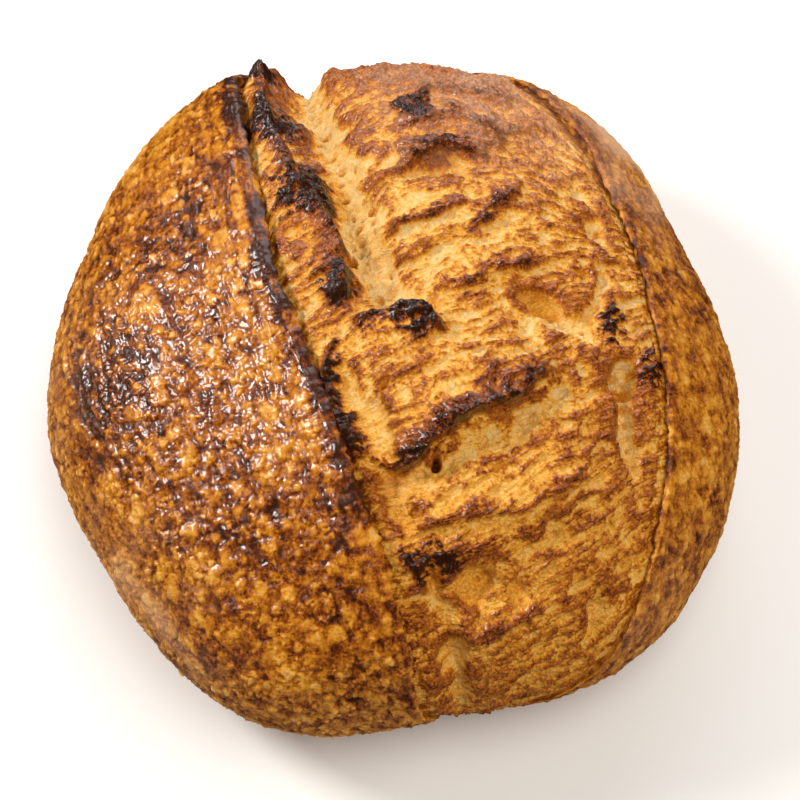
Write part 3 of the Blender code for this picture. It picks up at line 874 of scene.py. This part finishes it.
def colour_property(name, description, *shown):
    """A colour given from 0 to 255 as a screen shows it."""
    return FloatVectorProperty(
        name=name, description=description, subtype="COLOR", size=3, min=0, max=1, default=srgb(*shown)
    )


def length_property(name, description, default):
    return FloatProperty(
        name=name, description=description, subtype="DISTANCE", unit="LENGTH", default=default, min=0
    )


def number_property(name, description, default):
    return FloatProperty(name=name, description=description, default=default)


class LoafShape(bpy.types.PropertyGroup):
    """Sizes of the lips, the bloom and their fine relief."""

    ear_rise: length_property("Ear rise", "How far the ear stands above the crust", 6.5 * MM)
    ear_spread: length_property("Ear spread", "How far the crust slopes up to the ear", 15 * MM)
    ear_thickness: length_property("Ear thickness", "Thickness of the ear's rolled edge", 3.6 * MM)
    ear_lean: length_property("Ear lean", "How far the ear leans over the bloom", 1.5 * MM)
    lip_rise: length_property("Right lip rise", "How far the right lip stands above the crust", 2.6 * MM)
    lip_spread: length_property("Right lip spread", "How far the crust slopes up to the right lip", 8 * MM)
    lip_thickness: length_property("Right lip thickness", "Thickness of its rolled edge", 1.7 * MM)
    bloom_swell: length_property("Bloom swell", "How far the torn crumb bulges in the middle", 5.0 * MM)
    blister_rise: length_property("Blister rise", "Height of the crust's blisters", 0.55 * MM)
    thread_rise: length_property("Thread rise", "Height of the torn threads", 0.62 * MM)
    pore_depth: length_property("Pore depth", "Depth of the open pores", 3.0 * MM)
    layer_rise: length_property("Layer rise", "Height of the torn layers' edges", 1.8 * MM)
    fold_lean: number_property("Fold lean", "How far folds hang over, as a share of their rise", 0.45)
    detail: IntProperty(
        name="Detail", description="Columns across the left crust and the bloom", default=280, min=24, max=300
    )


class LoafColours(bpy.types.PropertyGroup):
    """Colours of crust, crumb and flour; the flour colour also paints sheen."""

    crumb: colour_property("Crumb", "Pale crumb where the loaf tore last", 222, 188, 128)
    crumb_gold: colour_property("Golden crumb", "Crumb with its first colour", 230, 178, 88)
    honey: colour_property("Honey crumb", "Golden crumb between the threads", 224, 158, 52)
    toasted: colour_property("Toasted crumb", "Toasted threads", 208, 138, 42)
    torn_amber: colour_property("Browned crumb", "Browned edges of the torn layers", 182, 104, 22)
    torn_red: colour_property("Red-brown crumb", "Red-brown tips of the torn layers", 142, 70, 26)
    crust_pale: colour_property("Pale blister", "Lightest blister tops", 222, 166, 84)
    crust_gold: colour_property("Golden crust", "Golden blister tops", 206, 138, 34)
    crust_amber: colour_property("Amber crust", "Amber crust", 174, 102, 16)
    crust_red: colour_property("Red-brown crust", "Ground between the blisters", 128, 62, 12)
    crust_dark: colour_property("Dark crust", "Scorched places", 84, 36, 10)
    char: colour_property("Char", "Burnt edges", 46, 22, 12)
    # Flour colour, also used to paint sheen on the crust's edges and over the back of the bloom.
    flour: colour_property("Flour", "Haze of flour near the underside", 206, 158, 118)


class LoafStage(bpy.types.PropertyGroup):
    """Camera, floor and lights."""

    elevation: FloatProperty(
        name="Camera height", description="Angle above the floor", subtype="ANGLE", default=math.radians(66)
    )
    distance: length_property("Camera distance", "Distance from the middle of the loaf", 0.75)
    view_width: length_property("View width", "Width seen at the middle of the loaf", 0.2812)
    window_power: number_property("Window light", "Power of the large light at the left", 8)
    back_power: number_property("Back light", "Power of the light behind", 6)
    fill_power: number_property("Fill light", "Power of the warm light above", 11)
    room_strength: number_property("Room light", "Strength of the even light all round", 0.22)
    floor: colour_property("Floor", "Pale floor", 240, 239, 237)


class LOAF_OT_left_crust(bpy.types.Operator):
    """Add the left half of the crust with the raised ear"""

    bl_idname = "loaf.left_crust"
    bl_label = "Left crust and ear"

    def execute(self, context):
        shape = context.scene.loaf_shape
        columns = shape.detail
        rows = int(LEFT_ROWS * columns)
        ear = smooth_line(EAR_LINE)
        sheet = crust_sheet(shape, rows, columns, ear, 1, LEFT_SEAM, shape.ear_thickness, columns // 14)
        add_sheet("crust_left", rows, columns, *sheet, LEFT_INSIDE, material_named("blistered_crust"))
        return {"FINISHED"}


class LOAF_OT_right_crust(bpy.types.Operator):
    """Add the right half of the crust with its low lip"""

    bl_idname = "loaf.right_crust"
    bl_label = "Right crust and lip"

    def execute(self, context):
        shape = context.scene.loaf_shape
        columns = int(shape.detail * RIGHT_COLUMNS)
        rows = int(RIGHT_ROWS * columns)
        lip = smooth_line(RIGHT_LIP_LINE)
        sheet = crust_sheet(shape, rows, columns, lip, -1, RIGHT_SEAM, shape.lip_thickness, columns // 16)
        add_sheet("crust_right", rows, columns, *sheet, RIGHT_INSIDE, material_named("blistered_crust"))
        return {"FINISHED"}


class LOAF_OT_bloom(bpy.types.Operator):
    """Add the torn crumb that fills the opening"""

    bl_idname = "loaf.bloom"
    bl_label = "Torn bloom"

    def execute(self, context):
        shape = context.scene.loaf_shape
        columns = shape.detail
        rows = int(BLOOM_ROWS * columns)
        down, out = grid_shares(rows, columns)
        ear, lip = smooth_line(EAR_LINE), smooth_line(RIGHT_LIP_LINE)
        width = np.linalg.norm(along_line(lip, down) - along_line(ear, down), axis=1)
        low, high = -3.5 * MM / width, 1 + 2.5 * MM / width
        share = (low + (high - low) * out)[:, None]
        skin = (1 - share) * along_line(ear, down) + share * along_line(lip, down)
        height, lean, tones, strands = bloom_relief(skin, shape, rows, columns)
        ear_distance, ear_share, _ = beside_line(skin, ear)
        lip_distance, _, _ = beside_line(skin, lip)
        tuck_left = 1 - smooth_step(3 * MM, 7.5 * MM, ear_distance)
        tuck_right = smooth_step(-6 * MM, -2.5 * MM, lip_distance)
        height = height * (1 - tuck_left) - 0.5 * MM * tuck_left
        height = height * (1 - tuck_right) - 0.7 * MM * tuck_right
        lean *= ((1 - tuck_left) * (1 - tuck_right))[:, None]
        # Painted shade: the crumb tucked under the ear is drawn darker.
        tones["bake"] += 0.14 * tuck_left * tapered(ear_share)
        places = body_point(skin + lean) + body_normal(skin) * height[:, None]
        crumb = material_named("torn_crumb")
        add_sheet("bloom", rows, columns, skin, places, tones, strands, BLOOM_INSIDE, crumb)
        return {"FINISHED"}


class LOAF_OT_underside(bpy.types.Operator):
    """Add the floured underside from the seam down to the flat base"""

    bl_idname = "loaf.underside"
    bl_label = "Underside"

    def execute(self, context):
        shape = context.scene.loaf_shape
        around, bands = 4 * shape.detail, 30
        clear_selection()
        bpy.ops.mesh.primitive_circle_add(vertices=around, radius=1, fill_type="TRIFAN", location=(0, 0, 0))
        piece = edit_rim("underside")
        close_below([1 / bands] * bands + [0])
        flat = corner_places(piece)
        middle = np.hypot(flat[:, 0], flat[:, 1]) < 0.5
        turn = np.arctan2(flat[:, 1], flat[:, 0])
        out = SEAM_RADIUS - SEAM_OVERLAP - flat[:, 2] * (SKIN_RADIUS - SEAM_RADIUS + SEAM_OVERLAP)
        skin = out[:, None] * in_rows(np.cos(turn), np.sin(turn))
        height, _, tones = crust_relief(skin, shape)
        height -= SEAM_STEP * (1 - smooth_step(SEAM_RADIUS, SEAM_RADIUS + SEAM_OVERLAP, out))
        places = body_point(skin) + body_normal(skin) * height[:, None]
        places[:, 2] = np.maximum(places[:, 2], 0)
        places[middle & (flat[:, 2] > -0.5)] = (0, 0, 35 * MM)
        places[middle & (flat[:, 2] < -0.5)] = (0, 0, 0)
        tones["flour"] = np.where(middle, 0.6, tones["flour"])
        finish_piece(piece, places, tones, skin / UV_SPAN + 0.5, material_named("blistered_crust"))
        return {"FINISHED"}


def material_named(name):
    """The material of that name, made once from the scene's colours."""
    makers = {"blistered_crust": crust_material, "torn_crumb": bloom_material}
    return bpy.data.materials.get(name) or makers[name](bpy.context.scene.loaf_colours)


def add_light(name, place, aim, size, power, colour, mirrored=True):
    """A soft round light, mirrored or not by the glossy crust."""
    light = bpy.data.lights.new(name, "AREA")
    light.shape = "DISK"
    light.size, light.energy, light.color = size, power, colour
    lamp = bpy.data.objects.new(name, light)
    lamp.location = place
    lamp.visible_glossy = mirrored
    lamp.rotation_euler = (Vector(aim) - Vector(place)).to_track_quat("-Z", "Y").to_euler()
    bpy.context.scene.collection.objects.link(lamp)


class LOAF_OT_stage(bpy.types.Operator):
    """Add the pale floor, the soft lights and the camera"""

    bl_idname = "loaf.stage"
    bl_label = "Stage"

    def execute(self, context):
        stage = context.scene.loaf_stage
        clear_selection()
        bpy.ops.mesh.primitive_plane_add(size=6, location=(0, 0, -0.2 * MM))
        floor = bpy.context.object
        floor.name = "floor"
        bpy.ops.object.transform_apply(location=True, rotation=True, scale=True)
        material, _, shader = new_material("pale_floor")
        shader.inputs["Base Color"].default_value = (*stage.floor, 1)
        shader.inputs["Roughness"].default_value = 0.9
        floor.data.materials.append(material)
        floor.visible_glossy = False
        middle = Vector(MIDDLE)
        add_light("window", (-0.72, 0.24, 0.70), middle, 0.32, stage.window_power, (1.0, 0.985, 0.965))
        add_light("back", (0.20, 0.90, 0.50), middle, 0.9, stage.back_power, (0.97, 0.97, 1.0))
        add_light("fill", (0.35, -0.25, 1.15), middle, 1.0, stage.fill_power, (1.0, 0.95, 0.88), False)
        world = bpy.data.worlds.new("pale_room")
        context.scene.world = world
        world.use_nodes = True
        background = world.node_tree.nodes["Background"].inputs
        background["Color"].default_value = (1.0, 0.985, 0.96, 1)
        background["Strength"].default_value = stage.room_strength
        world.cycles_visibility.glossy = False
        camera = bpy.data.objects.new("camera", bpy.data.cameras.new("camera"))
        context.scene.collection.objects.link(camera)
        away = Vector((0, -math.cos(stage.elevation), math.sin(stage.elevation)))
        camera.location = middle + away * stage.distance
        camera.rotation_euler = (middle - camera.location).to_track_quat("-Z", "Y").to_euler()
        camera.data.lens = camera.data.sensor_width * stage.distance / stage.view_width
        context.scene.camera = camera
        context.scene.view_settings.view_transform = "Standard"
        return {"FINISHED"}


class LOAF_PT_panel(bpy.types.Panel):
    """Builds the loaf piece by piece"""

    bl_idname = "LOAF_PT_panel"
    bl_label = "Country loaf"
    bl_space_type = "VIEW_3D"
    bl_region_type = "UI"
    bl_category = "Loaf"

    def draw(self, context):
        for operator in OPERATORS:
            self.layout.operator(operator.bl_idname)


OPERATORS = (LOAF_OT_left_crust, LOAF_OT_right_crust, LOAF_OT_bloom, LOAF_OT_underside, LOAF_OT_stage)
GROUPS = {"loaf_shape": LoafShape, "loaf_colours": LoafColours, "loaf_stage": LoafStage}


def register():
    for kind in (*GROUPS.values(), *OPERATORS, LOAF_PT_panel):
        bpy.utils.register_class(kind)
    for name, kind in GROUPS.items():
        setattr(bpy.types.Scene, name, PointerProperty(type=kind))


def unregister():
    for name in GROUPS:
        delattr(bpy.types.Scene, name)
    for kind in (LOAF_PT_panel, *reversed(OPERATORS), *GROUPS.values()):
        bpy.utils.unregister_class(kind)


def main():
    register()
    bpy.ops.loaf.left_crust()
    bpy.ops.loaf.right_crust()
    bpy.ops.loaf.bloom()
    bpy.ops.loaf.underside()
    bpy.ops.loaf.stage()


if __name__ == "__main__":
    main()
